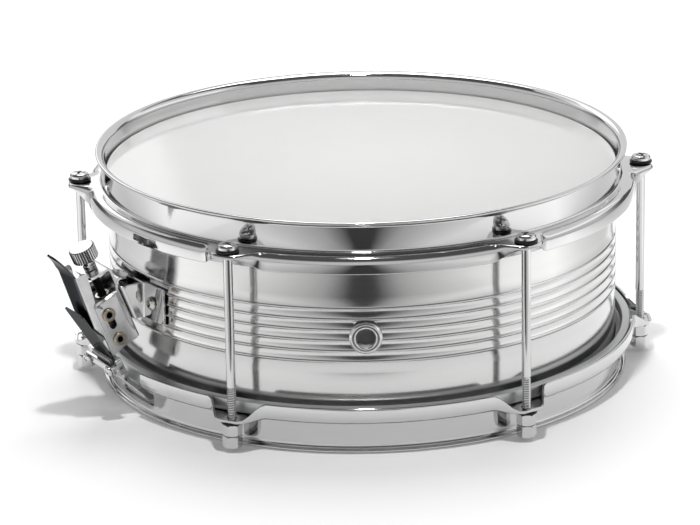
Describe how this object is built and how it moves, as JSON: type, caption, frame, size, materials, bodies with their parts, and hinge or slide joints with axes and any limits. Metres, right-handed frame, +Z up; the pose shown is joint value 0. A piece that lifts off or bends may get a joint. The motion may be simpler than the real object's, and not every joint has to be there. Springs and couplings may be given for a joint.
{
  "type": "caixa",
  "caption": "Shallow metal snare drum with pressed rims, tension rods at its ears, a beaded shell, snare wires and a throw-off strainer with an adjusting knob.",
  "frame": {"origin": "middle of the whole drum's box on the plane that its bottom rim stands on", "axes": "+Z up along the drum's axis, -X towards the strainer, +X towards the butt end"},
  "size_m": [0.3766, 0.349, 0.1372],
  "materials": {
    "shell_aluminium": "satin, turned",
    "chrome": "polished",
    "plated_steel": "bright plated",
    "blackened_steel": "black, semi-gloss",
    "head_film": "white, gloss film",
    "strap_film": "clear polyester film"
  },
  "bodies": {
    "drum": {"shell": "shell_aluminium", "batter_flesh_hoop": "shell_aluminium", "snare_flesh_hoop": "shell_aluminium", "top_hoop": "chrome", "bottom_hoop": "chrome", "vent_eyelet": "chrome", "strainer_bracket": "chrome", "strainer_frame": "chrome", "butt_bracket": "chrome", "butt_clamp_bar": "chrome", "butt_clamp_screw_1": "chrome", "butt_clamp_screw_2": "chrome", "rod_nut_1": "chrome", "rod_nut_2": "chrome", "rod_nut_3": "chrome", "rod_nut_4": "chrome", "rod_nut_5": "chrome", "rod_nut_6": "chrome", "lock_nut_1": "chrome", "lock_nut_2": "chrome", "lock_nut_3": "chrome", "lock_nut_4": "chrome", "lock_nut_5": "chrome", "lock_nut_6": "chrome", "bracket_screw_1": "plated_steel", "bracket_screw_2": "plated_steel", "butt_screw_1": "plated_steel", "butt_screw_2": "plated_steel", "frame_rivet_1": "plated_steel", "frame_rivet_2": "plated_steel", "snare_wires": "plated_steel", "rod_washer_1": "blackened_steel", "rod_washer_2": "blackened_steel", "rod_washer_3": "blackened_steel", "rod_washer_4": "blackened_steel", "rod_washer_5": "blackened_steel", "rod_washer_6": "blackened_steel", "batter_head": "head_film", "snare_head": "head_film", "butt_strap": "strap_film"},
    "tuning_rod_1": {"tension_rod_1": "chrome"},
    "tuning_rod_2": {"tension_rod_2": "chrome"},
    "tuning_rod_3": {"tension_rod_3": "chrome"},
    "tuning_rod_4": {"tension_rod_4": "chrome"},
    "tuning_rod_5": {"tension_rod_5": "chrome"},
    "tuning_rod_6": {"tension_rod_6": "chrome"},
    "knob": {"adjusting_knob": "chrome", "knob_clip": "plated_steel"},
    "carriage": {"strainer_carriage": "blackened_steel", "guide_pin": "plated_steel", "pivot_pin": "plated_steel", "strainer_strap": "strap_film"},
    "lever": {"strainer_lever": "chrome", "release_plate": "chrome", "clamp_block": "chrome", "clamp_bar": "chrome", "lever_clamp_screw_1": "chrome", "lever_clamp_screw_2": "chrome"}
  },
  "joints": [
    {"name": "tuning_1", "type": "hinge", "parent": "drum", "child": "tuning_rod_1", "pos_m": [0.16148, 0.09065, 0.0686], "axis": [0, 0, 1], "range_deg": [-360, 360]},
    {"name": "tuning_2", "type": "hinge", "parent": "drum", "child": "tuning_rod_2", "pos_m": [0.01237, 0.16761, 0.0686], "axis": [0, 0, 1], "range_deg": [-360, 360]},
    {"name": "tuning_3", "type": "hinge", "parent": "drum", "child": "tuning_rod_3", "pos_m": [-0.12884, 0.07696, 0.0686], "axis": [0, 0, 1], "range_deg": [-360, 360]},
    {"name": "tuning_4", "type": "hinge", "parent": "drum", "child": "tuning_rod_4", "pos_m": [-0.12093, -0.09065, 0.0686], "axis": [0, 0, 1], "range_deg": [-360, 360]},
    {"name": "tuning_5", "type": "hinge", "parent": "drum", "child": "tuning_rod_5", "pos_m": [0.02818, -0.16761, 0.0686], "axis": [0, 0, 1], "range_deg": [-360, 360]},
    {"name": "tuning_6", "type": "hinge", "parent": "drum", "child": "tuning_rod_6", "pos_m": [0.16938, -0.07696, 0.0686], "axis": [0, 0, 1], "range_deg": [-360, 360]},
    {"name": "knob_turn", "type": "hinge", "parent": "drum", "child": "knob", "pos_m": [-0.14379, 0, 0.04685], "axis": [-0.3746, 0, 0.9272], "range_deg": [-900, 900]},
    {"name": "carriage_slide", "type": "slide", "parent": "drum", "child": "carriage", "axis": [-0.3746, 0, 0.9272], "range_m": [-0.002, 0.002], "deforming": ["strainer_strap"]},
    {"name": "lever_throw", "type": "hinge", "parent": "carriage", "child": "lever", "pos_m": [-0.15115, 0, 0.05013], "axis": [0, -1, 0], "range_deg": [0, 45], "deforming": ["strainer_strap"]}
  ],
  "couplings": [
    {"joint": "knob_turn", "follows": "carriage_slide", "rad_per_m": -7853.9}
  ]
}
